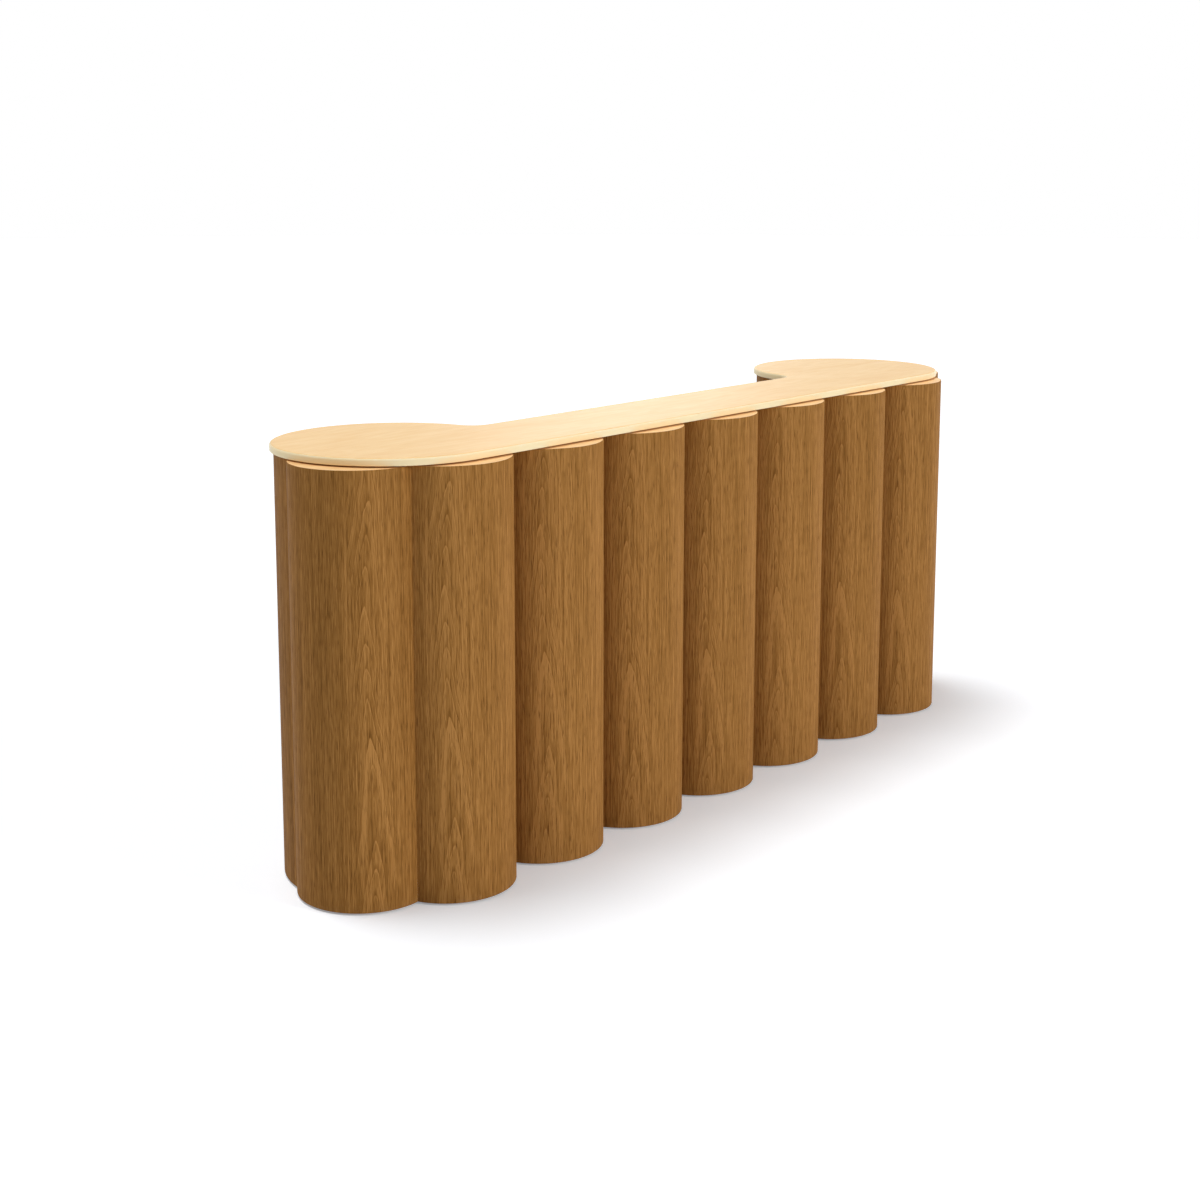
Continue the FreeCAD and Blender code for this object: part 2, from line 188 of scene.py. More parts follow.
# figure of a flat-cut leaf: nested flames in the middle, straight lines at the sides
flameSet = {
    "drift": (1.2, 2.4, 1.0),  # noise scales: across, along, and from leaf to leaf
    "ripple": (28.0, 7.0, 1.0),
    "jag": (170.0, 22.0, 1.0),
    "uneven": (45.0, 3.0, 2.0),
    "bands": (70.0, 0.9, 1.0),
    "lines": (260.0, 2.4, 1.0),
    "fibre": (620.0, 20.0, 3.0),
    "pores": (900.0, 34.0, 5.0),
    "streakRoughness": 0.6,
    "driftShare": 3.0,  # of the wander
    "jagShare": 0.09,
    "heartSide": (0.048, 0.014),  # distance from the middle where the flames begin and are full
    "lateWood": (0.34, 0.03),  # places in a ring, from 0 to 1
    "lateStart": (0.0, 0.025),
    "outline": (0.84, 0.97),
    "unevenRange": (0.3, 0.7, 0.45, 1.0),
    "poreRange": (0.58, 0.70),
    "sideWeight": 0.30,
    "weakWeight": 0.25,
    "mainHeart": 0.5,
}


def makeFlameFigure():
    tree, given, made = newGroup("flameFigure", [
        ("Grain", "NodeSocketVector", None),
        ("Ring Spacing", "NodeSocketFloat", 0.0084),
        ("Lean", "NodeSocketFloat", 0.125),
        ("Flame Width", "NodeSocketFloat", 0.0065),
        ("Wander", "NodeSocketFloat", 0.012),
        ("Main Ring", "NodeSocketFloat", 6.0),
    ], ["Rings", "Heart", "Outline", "Bands", "Lines", "Fibre", "Pores"])
    grain, wander, width = given["Grain"], given["Wander"], given["Flame Width"]
    parts = tree.nodes.new("ShaderNodeSeparateXYZ")
    tree.links.new(grain, parts.inputs[0])
    across, along = parts.outputs[0], parts.outputs[1]

    # the field grows by one ring spacing from each ring to the next
    drift = waver(tree, grain, flameSet["drift"], 1.0)
    sway = calc(tree, "MULTIPLY", wander, flameSet["driftShare"])
    middle = calc(tree, "MULTIPLY_ADD", drift, sway, across)
    squares = calc(tree, "MULTIPLY_ADD", middle, middle, calc(tree, "MULTIPLY", width, width))
    field = calc(tree, "MULTIPLY_ADD", along, given["Lean"], calc(tree, "SQRT", squares))
    field = calc(tree, "MULTIPLY_ADD", waver(tree, grain, flameSet["ripple"], 2.0), wander, field)
    jagSize = calc(tree, "MULTIPLY", wander, flameSet["jagShare"])
    field = calc(tree, "MULTIPLY_ADD", waver(tree, grain, flameSet["jag"], 1.0), jagSize, field)
    turns = calc(tree, "DIVIDE", field, given["Ring Spacing"])
    saw = calc(tree, "FRACT", turns)
    number = calc(tree, "FLOOR", turns)

    # some rings are strong, the main one always
    ring = tree.nodes.new("ShaderNodeTexWhiteNoise")
    ring.noise_dimensions = "1D"
    plug(tree, ring.inputs["W"], number)
    chance = ring.outputs["Value"]
    main = calc(tree, "COMPARE", number, given["Main Ring"], 0.5)
    strong = calc(tree, "MAXIMUM", chance, main)
    near = spread(tree, calc(tree, "ABSOLUTE", middle), *flameSet["heartSide"])
    weight = spread(tree, cloud(tree, grain, flameSet["uneven"], 1.0), *flameSet["unevenRange"])
    for part, least in ((near, flameSet["sideWeight"]), (strong, flameSet["weakWeight"])):
        weight = calc(tree, "MULTIPLY", weight, calc(tree, "MULTIPLY_ADD", part, 1 - least, least))

    late = calc(tree, "MULTIPLY", spread(tree, saw, *flameSet["lateWood"]),
                spread(tree, saw, *flameSet["lateStart"]))
    tree.links.new(calc(tree, "MULTIPLY", late, weight), made["Rings"])
    outline = spread(tree, saw, *flameSet["outline"])
    tree.links.new(calc(tree, "MULTIPLY", outline, weight), made["Outline"])
    pale = calc(tree, "MULTIPLY", chance, 1 - flameSet["mainHeart"])
    pale = calc(tree, "MULTIPLY_ADD", main, flameSet["mainHeart"], pale)
    tree.links.new(calc(tree, "MULTIPLY", near, pale), made["Heart"])
    for label in ("Bands", "Lines", "Fibre"):
        streaks = cloud(tree, grain, flameSet[label.lower()], roughness=flameSet["streakRoughness"])
        tree.links.new(streaks, made[label])
    dashes = cloud(tree, grain, flameSet["pores"], 1.0)
    tree.links.new(spread(tree, dashes, *flameSet["poreRange"]), made["Pores"])
    return tree


# soft lines of a pale close-grained board, long way along X
paleSet = {
    "rings": (1.6, 11.0, 4.0),
    "ringCount": 9.0,
    "fibre": (16.0, 420.0, 60.0),
    "mottle": (7.0, 15.0, 6.0),
}


def makePaleFigure():
    tree, given, made = newGroup("paleFigure", [
        ("Place", "NodeSocketVector", None),
    ], ["Figure", "Fibre", "Cloud"])
    place = given["Place"]
    soft = cloud(tree, place, paleSet["rings"], detail=3.0, roughness=0.55, distortion=0.6)
    rings = calc(tree, "FRACT", calc(tree, "MULTIPLY", soft, paleSet["ringCount"]))
    tree.links.new(calc(tree, "PINGPONG", rings, 0.5), made["Figure"])
    tree.links.new(cloud(tree, place, paleSet["fibre"], roughness=0.6), made["Fibre"])
    mottle = cloud(tree, place, paleSet["mottle"], detail=3.0, roughness=0.6, distortion=0.4)
    tree.links.new(mottle, made["Cloud"])
    return tree


# rubbed places along an edge, broken up so that the wear isn't even
wearSet = {
    "patches": (38.0, 38.0, 38.0),
    "patchRange": (0.42, 0.66),
    "scratches": (260.0, 260.0, 260.0),
    "scratchRange": (0.36, 0.60),
}


def makeEdgeWear():
    tree, given, made = newGroup("edgeWear", [
        ("Place", "NodeSocketVector", None),
        ("Edge", "NodeSocketFloat", 0.0),
    ], ["Wear"])
    patches = cloud(tree, given["Place"], wearSet["patches"], detail=3.0, roughness=0.65)
    scratches = cloud(tree, given["Place"], wearSet["scratches"], roughness=0.6)
    worn = calc(tree, "MULTIPLY", spread(tree, patches, *wearSet["patchRange"]),
                spread(tree, scratches, *wearSet["scratchRange"]))
    tree.links.new(calc(tree, "MULTIPLY", worn, given["Edge"]), made["Wear"])
    return tree


flameFigure = makeFlameFigure()
paleFigure = makePaleFigure()
edgeWear = makeEdgeWear()
print("grain and wear groups made")


# brown veneer of the columns and walls
veneerLook = {
    "light": toned(182, 130, 70),
    "middle": toned(151, 104, 49),
    "dark": toned(112, 72, 26),
    "pore": toned(86, 52, 16),
    "scuffed": toned(168, 124, 74),
    "weights": {"Bands": 0.60, "Lines": 1.05, "Fibre": 1.45, "Heart": 0.52, "Rings": -0.48, "Outline": 0.64},
    "toneDrop": 0.92,
    "places": (0.05, 0.50, 0.95),
    "poreShade": 0.60,
    "poreRough": 0.18,
    "poreHeight": -0.8,
    "fibreHeight": 0.5,
    "footScuff": (0.022, 0.006),  # heights where the scuffs begin and are full
    "scuffShade": 0.5,
    "scuffRough": 0.15,
    "roughSpread": 0.12,
    "roughLow": 0.56,
    "bump": (0.25, 0.0004),
    "specular": 0.06,
}


def makeVeneer():
    look = veneerLook
    material, tree, shader = newMaterial("brownVeneer")
    figure = useGroup(tree, flameFigure, Grain=attribute(tree, "grain")["Vector"])
    # the leaf tone holds random tone from leaf to leaf, and painted shade that darkens the end columns and
    # the round end walls
    tone = blended(tree, figure, look["weights"], attribute(tree, "leafToneAndShade")["Fac"])
    tone = calc(tree, "SUBTRACT", tone, look["toneDrop"])
    colour = shades(tree, tone, look["places"], (look["dark"], look["middle"], look["light"]))
    colour = tint(tree, calc(tree, "MULTIPLY", figure["Pores"], look["poreShade"]), colour, look["pore"])
    place = objectPlace(tree)
    foot = spread(tree, upright(tree, place), *look["footScuff"])
    wear = useGroup(tree, edgeWear, Place=place, Edge=foot)["Wear"]
    scuff = calc(tree, "MULTIPLY", wear, look["scuffShade"])
    plug(tree, shader["Base Color"], tint(tree, scuff, colour, look["scuffed"]))
    rough = calc(tree, "MULTIPLY_ADD", figure["Fibre"], look["roughSpread"], look["roughLow"])
    rough = calc(tree, "MULTIPLY_ADD", wear, look["scuffRough"], rough)
    plug(tree, shader["Roughness"], calc(tree, "MULTIPLY_ADD", figure["Pores"], look["poreRough"], rough))
    heights = {"Fibre": look["fibreHeight"], "Pores": look["poreHeight"]}
    plug(tree, shader["Normal"], raised(tree, blended(tree, figure, heights), *look["bump"]))
    shader["Specular IOR Level"].default_value = look["specular"]
    return material


# pale board of the top
topLook = {
    "light": toned(249, 210, 146),
    "dark": toned(242, 195, 125),
    # edge: the board's own paler edge colour, lifted further as a painted highlight
    "edge": toned(255, 235, 190),
    "rubbed": toned(255, 240, 208),
    "weights": {"Cloud": 0.95, "Figure": 0.55, "Fibre": 0.25},
    "toneStart": -0.2,
    "places": (0.2, 0.85),
    "edgeLevel": (0.98, 0.80),  # how level the face is where the edge's colour begins and is full
    "arrisLevel": (0.05, 0.25),
    "rubShade": 0.6,
    "rubRough": 0.2,
    "roughSpread": 0.14,
    "roughLow": 0.17,
    "bump": (0.05, 0.0003),
    "specular": 0.03,
}


def makeTopBoard():
    look = topLook
    material, tree, shader = newMaterial("paleTop")
    place = objectPlace(tree)
    figure = useGroup(tree, paleFigure, Place=place)
    tone = blended(tree, figure, look["weights"], look["toneStart"])
    colour = shades(tree, tone, look["places"], (look["dark"], look["light"]))
    level = levelness(tree)
    side = spread(tree, level, *look["edgeLevel"])
    arris = calc(tree, "MULTIPLY", side, spread(tree, level, *look["arrisLevel"]))
    wear = useGroup(tree, edgeWear, Place=place, Edge=arris)["Wear"]
    # upright faces take the edge colour: partly the edge's own paler colour, partly painted highlight
    colour = tint(tree, side, colour, look["edge"])
    rub = calc(tree, "MULTIPLY", wear, look["rubShade"])
    plug(tree, shader["Base Color"], tint(tree, rub, colour, look["rubbed"]))
    rough = calc(tree, "MULTIPLY_ADD", figure["Fibre"], look["roughSpread"], look["roughLow"])
    plug(tree, shader["Roughness"], calc(tree, "MULTIPLY_ADD", wear, look["rubRough"], rough))
    plug(tree, shader["Normal"], raised(tree, figure["Fibre"], *look["bump"]))
    shader["Specular IOR Level"].default_value = look["specular"]
    return material


def finishFibre(tree, shader, fibre, look):
    # roughness and relief that follow one fine pattern
    rough = calc(tree, "MULTIPLY_ADD", fibre, look["roughSpread"], look["roughLow"])
    plug(tree, shader["Roughness"], rough)
    plug(tree, shader["Normal"], raised(tree, fibre, *look["bump"]))


# caps of the columns, warmer than the top
capLook = {
    "light": toned(252, 208, 148),
    "dark": toned(240, 188, 124),
    "weights": {"Cloud": 0.5, "Figure": 0.8, "Fibre": 0.3},
    "places": (0.2, 0.9),
    "roughSpread": 0.12,
    "roughLow": 0.36,
    "bump": (0.08, 0.0003),
}


def makeCapBoard():
    look = capLook
    material, tree, shader = newMaterial("warmCap")
    figure = useGroup(tree, paleFigure, Place=objectPlace(tree))
    tone = blended(tree, figure, look["weights"])
    plug(tree, shader["Base Color"], shades(tree, tone, look["places"], (look["dark"], look["light"])))
    finishFibre(tree, shader, figure["Fibre"], look)
    return material


# inner boards, with plies on their edges
plyLook = {
    "face": toned(214, 178, 128),
    "grain": toned(186, 146, 98),
    "glue": toned(120, 84, 50),
    "weights": {"Figure": 0.9, "Fibre": 0.4},
    "places": (0.15, 0.8),
    "sheetPairs": 280.0,  # in a metre of thickness
    "sheetChange": (0.45, 0.55),
    "glueLine": (0.94, 0.99),
    "edgeLevel": (0.75, 0.35),
    "roughSpread": 0.15,
    "roughLow": 0.53,
    "bump": (0.12, 0.0004),
}


def makePlywood():
    look = plyLook
    material, tree, shader = newMaterial("birchPly")
    place = objectPlace(tree)
    figure = useGroup(tree, paleFigure, Place=place)
    tone = blended(tree, figure, look["weights"])
    face = shades(tree, tone, look["places"], (look["grain"], look["face"]))
    sheet = calc(tree, "FRACT", calc(tree, "MULTIPLY", upright(tree, place), look["sheetPairs"]))
    edge = tint(tree, spread(tree, sheet, *look["sheetChange"]), look["face"], look["grain"])
    edge = tint(tree, spread(tree, sheet, *look["glueLine"]), edge, look["glue"])
    side = spread(tree, levelness(tree), *look["edgeLevel"])
    plug(tree, shader["Base Color"], tint(tree, side, face, edge))
    finishFibre(tree, shader, figure["Fibre"], look)
    return material


# zinc of the screws, inserts and foot stems
zincLook = {
    "bright": toned(196, 198, 200),
    "dull": toned(150, 152, 156),
    "spots": (260.0, 260.0, 260.0),
    "spotRange": (0.35, 0.7),
    "threadPitch": 0.0015,
    "roughSpread": 0.2,
    "roughLow": 0.26,
    "bump": (0.6, 0.0006),
}


def makeZinc():
    look = zincLook
    material, tree, shader = newMaterial("zincSteel")
    place = objectPlace(tree)
    spots = cloud(tree, place, look["spots"], detail=3.0, roughness=0.6)
    bright = spread(tree, spots, *look["spotRange"])
    plug(tree, shader["Base Color"], tint(tree, bright, look["dull"], look["bright"]))
    shader["Metallic"].default_value = 1.0
    rough = calc(tree, "MULTIPLY_ADD", spots, look["roughSpread"], look["roughLow"])
    plug(tree, shader["Roughness"], rough)
    turns = calc(tree, "DIVIDE", upright(tree, place), look["threadPitch"])
    plug(tree, shader["Normal"], raised(tree, calc(tree, "PINGPONG", turns, 0.5), *look["bump"]))
    return material


# black moulded plastic of the pads and spacers
plasticLook = {
    "body": toned(30, 30, 31),
    "worn": toned(52, 51, 50),
    "grit": (900.0, 900.0, 900.0),
    "rubs": (60.0, 60.0, 60.0),
    "rubRange": (0.5, 0.75),
    "roughSpread": 0.2,
    "roughLow": 0.45,
    "bump": (0.2, 0.0002),
}


def makePlastic():
    look = plasticLook
    material, tree, shader = newMaterial("blackPlastic")
    place = objectPlace(tree)
    rubs = cloud(tree, place, look["rubs"], detail=3.0, roughness=0.65)
    worn = spread(tree, rubs, *look["rubRange"])
    plug(tree, shader["Base Color"], tint(tree, worn, look["body"], look["worn"]))
    finishFibre(tree, shader, cloud(tree, place, look["grit"]), look)
    return material


veneer = makeVeneer()
topBoard = makeTopBoard()
capBoard = makeCapBoard()
plywood = makePlywood()
zinc = makeZinc()
plastic = makePlastic()
print("materials made")


# mesh helpers

def finishMesh(form, name, material, node, sharpAngle=40):
    bmesh.ops.recalc_face_normals(form, faces=form.faces)
    mesh = bpy.data.meshes.new(name)
    form.to_mesh(mesh)
    form.free()
    body = bpy.data.objects.new(name, mesh)
    bpy.context.scene.collection.objects.link(body)
    mesh.polygons.foreach_set("use_smooth", [True] * len(mesh.polygons))
    mesh.set_sharp_from_angle(angle=math.radians(sharpAngle))
    mesh.materials.append(material)
    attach(body, "carcass")
    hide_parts(node)


def joinRows(form, first, second):
    # a ring of faces between two closed rows of points
    for k in range(len(first)):
        j = (k + 1) % len(first)
        form.faces.new((first[k], first[j], second[j], second[k]))


def easedSection(inner, outer, low, high, ease, steps=3, hold=0.003):
    # upright wall section with rounded corners, as (radius, height) going round
    # a point beside each corner keeps the long faces shading flat
    corners = [(inner, low, 180), (outer, low, 270), (outer, high, 0), (inner, high, 90)]
    section = []
    for radius, height, start in corners:
        r = radius + (ease if radius == inner else -ease)
        h = height + (ease if height == low else -ease)
        arc = []
        for step in range(steps + 1):
            turn = math.radians(start + 90 * step / steps)
            arc.append((r + ease * math.cos(turn), h + ease * math.sin(turn)))
        first, last = math.radians(start), math.radians(start + 90)
        section.append((arc[0][0] + hold * math.sin(first), arc[0][1] - hold * math.cos(first)))
        section += arc
        section.append((arc[-1][0] - hold * math.sin(last), arc[-1][1] + hold * math.cos(last)))
    return section


def sweptWall(node, centre, section, start, span, flame, seed, tone=0.0, rise=0.0, stepTurn=2.0):
    # turns a section round an upright axis and keeps the leaf's own coordinates on the points
    form = bmesh.new()
    grain = form.verts.layers.float_vector.new("grain")
    # tone of each leaf: random tone, or painted shade on the end pieces
    leafToneAndShade = form.verts.layers.float.new("leafToneAndShade")
    outer = max(r for r, h in section)
    count = max(2, round(abs(span) / stepTurn))
    rows = []
    for step in range(count + 1):
        turn = math.radians(start + span * step / count)
        row = []
        for r, h in section:
            point = form.verts.new((centre[0] + r * math.cos(turn), centre[1] + r * math.sin(turn), h))
            point[grain] = (outer * (turn - math.radians(flame)), h - rise, seed)
            point[leafToneAndShade] = tone
            row.append(point)
        rows.append(row)
    for first, second in zip(rows, rows[1:]):
        joinRows(form, first, second)
    form.faces.new(rows[0])
    form.faces.new(rows[-1][::-1])
    finishMesh(form, node + "_leaf", veneer, node)


# column walls: places as in the part, all leaves cut one after another from the same log
columnSet = {
    "radius": 0.1397,
    "wall": 0.009,
    "rim": 0.0015,
    "capLip": 0.004,
    "ease": 0.0008,
    "hold": 0.004,
    "footBreak": 0.3,  # middle points of the eased foot and head, as shares of the ease
    "headEase": 0.5,
    "headBreak": 0.15,
    "skinIn": 0.00015,
    "mitreGrow": 0.0001,
    "pitch": 0.280,
    "sideCount": 3,  # columns of the row on each side of its middle one
    "rowY": -0.12715,
    "endTurn": 33.0,
    "endMitre": 50.9,
    "rowFlame": 227.0,  # angles round the column where the flames stand
    "leftFlame": 234.0,
    "rightFlame": 306.0,
    "seedStart": 5.0,
    "seedStep": 0.035,
    # painted shade: the two end columns are set darker than the row
    "endPaintedShade": -0.10,
    "toneSwing": 0.03,
    "toneStep": 2.4,
    "flameRise": 0.06,
    "riseStart": -4.1,
    "riseStep": 1.9,
}


def columnPlaces():
    # (x, y, first angle, span, angle of the flame) of each column, in degrees
    settings = columnSet
    radius, endTurn, endMitre = settings["radius"], settings["endTurn"], settings["endMitre"]
    grow = math.degrees(math.asin(settings["mitreGrow"] / radius))
    cut = endMitre - endTurn - grow
    reach = 2 * radius * math.cos(math.radians(endMitre))
    half = settings["sideCount"] * settings["pitch"]
    endX = half + reach * math.cos(math.radians(endTurn))
    endY = settings["rowY"] + reach * math.sin(math.radians(endTurn))

    # the end columns stop where they meet the round end walls
    lobeX, lobeY = lobePlace()
    away = math.hypot(endX - lobeX, endY - lobeY)
    facing = math.degrees(math.asin((endY - lobeY) / away))
    share = (wallSet["radius"] ** 2 - away ** 2 - radius ** 2) / (2 * away * radius)
    first = 180 + endTurn + endMitre - grow
    last = 360 + facing + math.degrees(math.acos(share)) + grow
    span = last - first

    places = [(-endX, endY, 540 - last, span, settings["leftFlame"])]
    for step in range(-settings["sideCount"], settings["sideCount"] + 1):
        start = 180 + cut if step == -settings["sideCount"] else 180
        wide = 180 - cut if abs(step) == settings["sideCount"] else 180
        places.append((step * settings["pitch"], settings["rowY"], start, wide, settings["rowFlame"]))
    places.append((endX, endY, first, span, settings["rightFlame"]))
    return places


def columnSection(low, high):
    # (radius, height) going round: eased foot and head, and the rebate of the cap inside
    settings = columnSet
    ease, hold = settings["ease"], settings["hold"]
    outer, inner = settings["radius"] - settings["skinIn"], settings["radius"] - settings["wall"]
    seat, rim = high - settings["capLip"], settings["radius"] - settings["rim"]
    foot, head, corner = (settings[name] * ease for name in ("footBreak", "headEase", "headBreak"))
    return [(inner, low), (outer - ease, low), (outer - foot, low + foot), (outer, low + ease),
            (outer, low + hold), (outer, high - hold), (outer, high - head),
            (outer - corner, high - corner), (outer - head, high), (rim, high), (rim, seat), (inner, seat)]


def buildColumns():
    settings = columnSet
    places = columnPlaces()
    for number, (x, y, start, span, flame) in enumerate(places, 1):
        node = f"column_shell_{number}"
        low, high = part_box(node)
        tone = settings["toneSwing"] * math.sin(settings["toneStep"] * number)
        # the end columns get painted shade in place of the random tone
        if number in (1, len(places)):
            tone = settings["endPaintedShade"]
        rise = settings["flameRise"] * math.sin(settings["riseStep"] * number + settings["riseStart"])
        seed = settings["seedStart"] + settings["seedStep"] * number
        sweptWall(node, (x, y), columnSection(low.z, high.z), start, span, flame, seed, tone, rise)


# walls of the round ends, hollow corners and rear
wallSet = {
    "radius": 0.240,
    "wall": 0.009,
    "lobeOut": 0.008,
    "lobeBack": 0.146,
    "topRadius": 0.248,
    "bridgeBack": 0.149,
    "neckRadius": 0.048,
    "overhang": 0.008,
    "ease": 0.0008,
    "endFlame": 90.0,
    "endFlameTurn": 20.0,
    "endSeed": 7.3,
    # painted shade: the round end walls are set darker
    "endPaintedShade": -0.16,
    "neckFlame": 200.0,
    "neckSeed": 11.0,
    "leafWidth": 0.30,
    "leafHeart": 0.42,  # where the flame stands in a leaf of the rear
    "rearSeed": 15.0,
    "rearSeedStep": 0.03,
}


def lobePlace():
    # centre of the right round end
    half = columnSet["sideCount"] * columnSet["pitch"]
    return half + wallSet["lobeOut"], columnSet["rowY"] + wallSet["lobeBack"]


def neckPlace():
    # centre of the right hollow corner, and the angle at which it meets the round end
    lobeX, lobeY = lobePlace()
    neckY = columnSet["rowY"] + wallSet["bridgeBack"] + wallSet["neckRadius"]
    reach = wallSet["topRadius"] + wallSet["neckRadius"]
    tilt = math.degrees(math.asin((neckY - lobeY) / reach))
    return lobeX - reach * math.cos(math.radians(tilt)), neckY, tilt


def buildEnd(word, side, low, high):
    # round end wall and hollow corner of one side: -1 left, 1 right
    settings = wallSet
    lobeX, lobeY = lobePlace()
    neckX, neckY, tilt = neckPlace()
    outer = settings["radius"] - columnSet["skinIn"]
    x, y, start, span = columnPlaces()[0 if side < 0 else -1][:4]
    meetTurn = math.radians(start if side < 0 else start + span)
    meetX = x + columnSet["radius"] * math.cos(meetTurn)
    meetY = y + columnSet["radius"] * math.sin(meetTurn)
    meet = math.degrees(math.atan2(meetY - lobeY, (meetX - side * lobeX) * side))
    section = easedSection(outer - settings["wall"], outer, low.z, high.z, settings["ease"])
    # the round end walls are darkened with painted shade
    sweptWall(f"{word}_end_skin", (side * lobeX, lobeY), section, meet if side > 0 else tilt,
              180 - tilt - meet, settings["endFlame"] + side * settings["endFlameTurn"],
              settings["endSeed"] + side, settings["endPaintedShade"])
    hollow = settings["neckRadius"] + settings["overhang"]
    section = easedSection(hollow, hollow + settings["wall"], low.z, high.z, settings["ease"])
    sweptWall(f"{word}_neck_panel", (side * neckX, neckY), section, 270 if side > 0 else 180 + tilt,
              90 - tilt, settings["neckFlame"], settings["neckSeed"] + side)


def buildRear(low, high):
    # flat rear panel in leaves of one width, each leaf with its own flame
    form = bmesh.new()
    grain = form.verts.layers.float_vector.new("grain")
    count = max(1, round((high.x - low.x) / wallSet["leafWidth"]))
    width = (high.x - low.x) / count
    ease = wallSet["ease"]
    section = [(low.y, low.z), (high.y - ease, low.z), (high.y, low.z + ease), (high.y, high.z - ease),
               (high.y - ease, high.z), (low.y, high.z)]
    for leaf in range(count):
        seed = wallSet["rearSeed"] + wallSet["rearSeedStep"] * leaf
        rows = []
        for edge in (0, 1):
            row = []
            for y, z in section:
                point = form.verts.new((low.x + width * (leaf + edge), y, z))
                point[grain] = (width * (edge - wallSet["leafHeart"]), z, seed)
                row.append(point)
            rows.append(row)
        joinRows(form, *rows)
        if leaf == 0:
            form.faces.new(rows[0])
        if leaf == count - 1:
            form.faces.new(rows[1][::-1])
    finishMesh(form, "rear_panel_leaf", veneer, "rear_panel")


def buildWalls():
    low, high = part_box("rear_panel")
    for word, side in (("left", -1), ("right", 1)):
        buildEnd(word, side, low, high)
    buildRear(low, high)


# the top: dog-bone outline with rounded edges
topSet = {
    "easeOver": 0.005,
    "easeUnder": 0.0015,
    "hold": 0.006,
    "easeSteps": 6,
    "arcStep": 1.5,
    "samePoint": 0.00001,
    "sharpAngle": 60,
}


def topOutline(inset):
    # outline points going round anticlockwise, set in from the edge
    lobeX, lobeY = lobePlace()
    neckX, neckY, tilt = neckPlace()
    inset += columnSet["skinIn"]
    lobe, neck = wallSet["topRadius"] - inset, wallSet["neckRadius"] + inset
    points = []

    def arc(x, y, radius, first, last):
        count = max(2, round(abs(last - first) / topSet["arcStep"]))
        for step in range(count + 1):
            turn = math.radians(first + (last - first) * step / count)
            points.append((x + radius * math.cos(turn), y + radius * math.sin(turn)))

    arc(lobeX, lobeY, lobe, -90, 180 - tilt)
    arc(neckX, neckY, neck, 360 - tilt, 270)
    arc(-neckX, neckY, neck, 270, 180 + tilt)
    arc(-lobeX, lobeY, lobe, tilt, 270)
    kept = [points[0]]
    for point in points[1:]:
        if math.dist(point, kept[-1]) > topSet["samePoint"]:
            kept.append(point)
    return kept


def buildTop():
    low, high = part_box("counter_top")
    over, under, hold = topSet["easeOver"], topSet["easeUnder"], topSet["hold"]
    turns = [math.radians(90 * step / topSet["easeSteps"]) for step in range(topSet["easeSteps"] + 1)]
    levels = [(under + hold, low.z)]
    for turn in turns:
        levels.append((under * (1 - math.sin(turn)), low.z + under * (1 - math.cos(turn))))
    for turn in turns:
        levels.append((over * (1 - math.cos(turn)), high.z - over * (1 - math.sin(turn))))
    levels.append((over + hold, high.z))
    form = bmesh.new()
    rows = [[form.verts.new((x, y, z)) for x, y in topOutline(inset)] for inset, z in levels]
    for first, second in zip(rows, rows[1:]):
        joinRows(form, first, second)
    form.faces.new(rows[-1])
    form.faces.new(rows[0][::-1])
    finishMesh(form, "counter_top_board", topBoard, "counter_top", topSet["sharpAngle"])


buildColumns()
print("columns built")
buildWalls()
print("walls built")
buildTop()
print("top built")


# solids that keep their own shape and only get a finish
def dressSolids():
    finishes = {"maple_cap": capBoard, "plywood": plywood, "zinc_steel": zinc, "black_plastic": plastic}
    for entry in frame["record"]["subparts"]:
        finish = finishes.get(entry["material_slot"])
        if finish:
            data = nodes[entry["node"]].data
            data.materials.clear()
            data.materials.append(finish)


dressSolids()
print("solids dressed")


# studio: pale floor, soft sky with a brighter patch low behind, a front lamp to the right and a high lamp
studio = {
    "floor": (0.915, 0.935, 0.96, 1.0),
    "glowTint": (0.96, 1.0, 1.06, 1.0),
    "floorGlow": 0.25,
    "floorSize": 30.0,
    "floorSides": 96,
    "sky": 0.25,
    "lamps": {
        "frontLamp": {"from": (0.36, -0.93, 0.32), "strength": 1.45, "angle": 20.0},
        "highLamp": {"from": (-0.06, 0.24, 1.0), "strength": 1.9, "angle": 26.0},
    },
    "patchToward": (0.759, 0.636, 0.139),
    "patchSpread": (0.13, 0.03),  # angles from its middle where the patch begins and is full
    "patchStrength": 1.2,
}


def seenRays(tree):
    # 1 for what the camera sees, straight or in a reflection
    rays = tree.nodes.new("ShaderNodeLightPath").outputs
    seen = calc(tree, "MAXIMUM", rays["Is Camera Ray"], rays["Is Glossy Ray"])
    return calc(tree, "MAXIMUM", seen, rays["Is Transmission Ray"])


def buildSky(scene):
    # plain white where it is seen, dimmer as a light, and the patch only in reflections
    world = bpy.data.worlds.new("studioSky")
    scene.world = world
    world.use_nodes = True
    tree = world.node_tree
    level = spread(tree, seenRays(tree), 0.0, 1.0, studio["sky"], 1.0)
    toward = tree.nodes.new("ShaderNodeVectorMath")
    toward.operation = "DOT_PRODUCT"
    tree.links.new(tree.nodes.new("ShaderNodeTexCoord").outputs["Generated"], toward.inputs[0])
    toward.inputs[1].default_value = Vector(studio["patchToward"]).normalized()
    away = calc(tree, "ARCCOSINE", toward.outputs["Value"])
    patch = spread(tree, away, *studio["patchSpread"], 0.0, studio["patchStrength"])
    glossy = tree.nodes.new("ShaderNodeLightPath").outputs["Is Glossy Ray"]
    sky = tree.nodes["Background"].inputs
    plug(tree, sky["Strength"], calc(tree, "MULTIPLY_ADD", patch, glossy, level))
    sky["Color"].default_value = (1.0, 1.0, 1.0, 1.0)


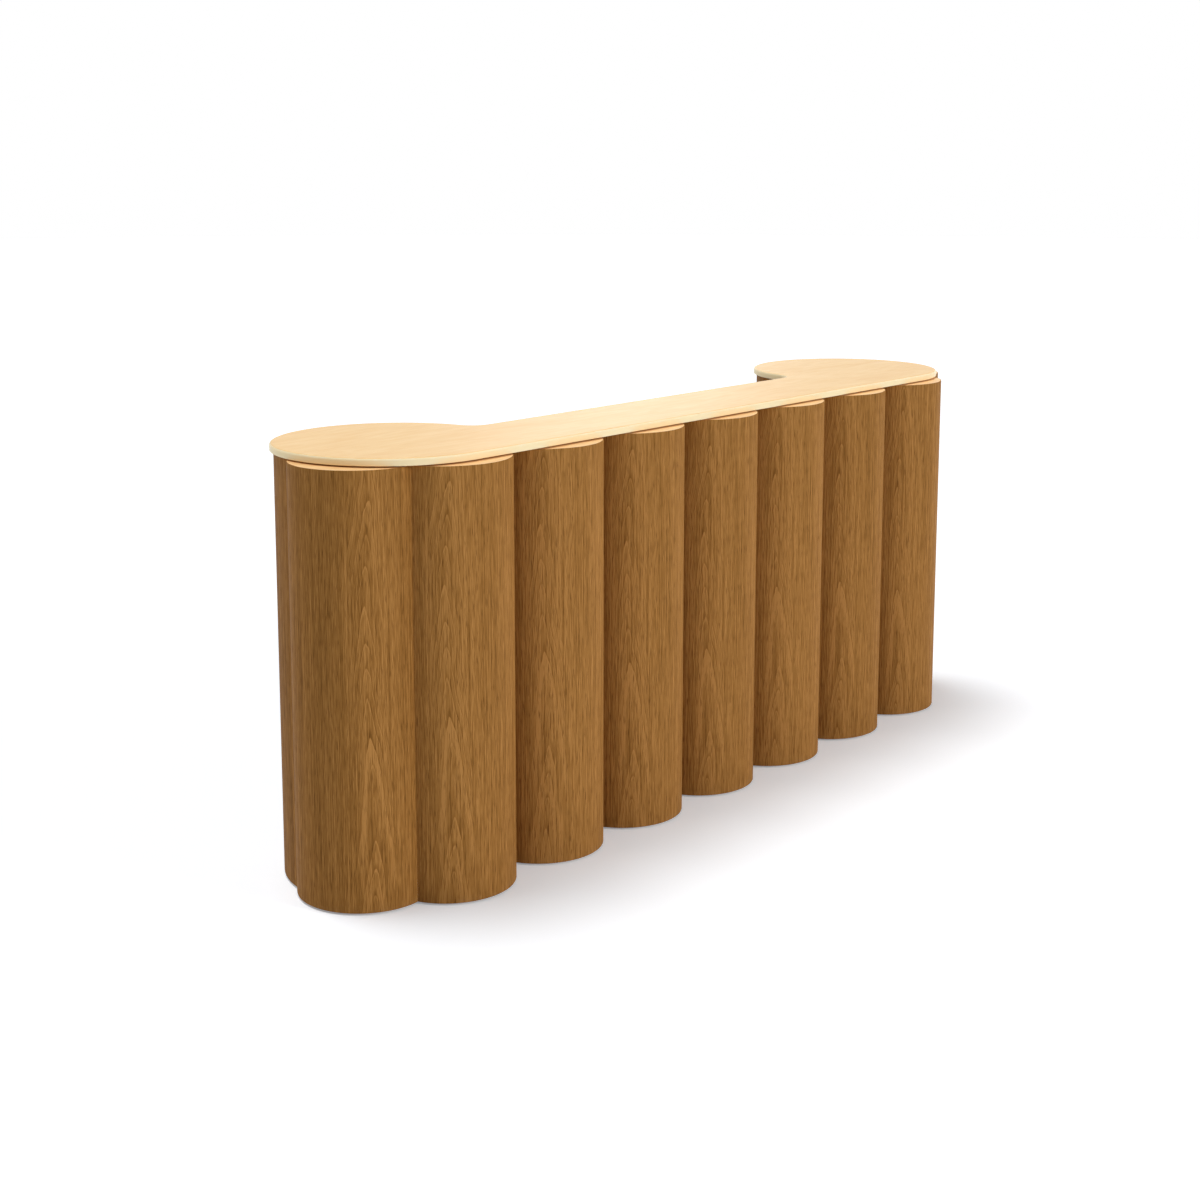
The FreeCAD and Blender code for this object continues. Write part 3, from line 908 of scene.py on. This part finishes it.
def buildFloor(scene):
    mesh = bpy.data.meshes.new("studioFloor")
    form = bmesh.new()
    bmesh.ops.create_circle(form, cap_ends=True, segments=studio["floorSides"], radius=studio["floorSize"])
    form.to_mesh(mesh)
    form.free()
    floor = bpy.data.objects.new("studioFloor", mesh)
    scene.collection.objects.link(floor)
    material = bpy.data.materials.new("paleFloor")
    material.use_nodes = True
    tree = material.node_tree
    tree.nodes.remove(tree.nodes["Principled BSDF"])
    matte = tree.nodes.new("ShaderNodeBsdfDiffuse")
    matte.inputs["Color"].default_value = studio["floor"]
    glow = tree.nodes.new("ShaderNodeEmission")
    glow.inputs["Color"].default_value = studio["glowTint"]
    plug(tree, glow.inputs["Strength"], calc(tree, "MULTIPLY", seenRays(tree), studio["floorGlow"]))
    both = tree.nodes.new("ShaderNodeAddShader")
    tree.links.new(matte.outputs[0], both.inputs[0])
    tree.links.new(glow.outputs[0], both.inputs[1])
    tree.links.new(both.outputs[0], tree.nodes["Material Output"].inputs["Surface"])
    mesh.materials.append(material)


def buildStudio():
    scene = bpy.context.scene
    scene.view_settings.view_transform = "Standard"
    buildSky(scene)
    buildFloor(scene)
    for name, setting in studio["lamps"].items():
        lamp = bpy.data.lights.new(name, "SUN")
        lamp.energy = setting["strength"]
        lamp.angle = math.radians(setting["angle"])
        holder = bpy.data.objects.new(name, lamp)
        holder.rotation_euler = Vector(setting["from"]).to_track_quat("Z", "Y").to_euler()
        scene.collection.objects.link(holder)


# camera of the photograph: place in metres, angles in radians, focus and middle in pixels of the photo
shot = {
    "place": (-3.4445, -2.7578, 1.4965),
    "turn": 0.8651,
    "dip": 0.1584,
    "lean": -0.0006,
    "focus": 1857.9,
    "middle": (600.0, 450.0),
    "frame": 1200.0,
    "sensor": 36.0,
    "far": 100.0,
}


def buildCamera():
    turn, dip, lean, size = shot["turn"], shot["dip"], shot["lean"], shot["frame"]
    ahead = Vector((math.sin(turn) * math.cos(dip), math.cos(turn) * math.cos(dip), -math.sin(dip)))
    right = Vector((math.cos(turn), -math.sin(turn), 0.0))
    down = ahead.cross(right)
    right, down = (right * math.cos(lean) + down * math.sin(lean),
                   down * math.cos(lean) - right * math.sin(lean))
    lens = bpy.data.cameras.new("shotCamera")
    lens.sensor_width = shot["sensor"]
    lens.lens = shot["sensor"] * shot["focus"] / size
    lens.shift_x = (size / 2 - shot["middle"][0]) / size
    lens.shift_y = (shot["middle"][1] - size / 2) / size
    lens.clip_end = shot["far"]
    camera = bpy.data.objects.new("shotCamera", lens)
    facing = Matrix((right, -down, -ahead)).transposed().to_4x4()
    camera.matrix_world = Matrix.Translation(shot["place"]) @ facing
    bpy.context.scene.collection.objects.link(camera)
    bpy.context.scene.camera = camera


buildStudio()
buildCamera()
print("studio and camera set")
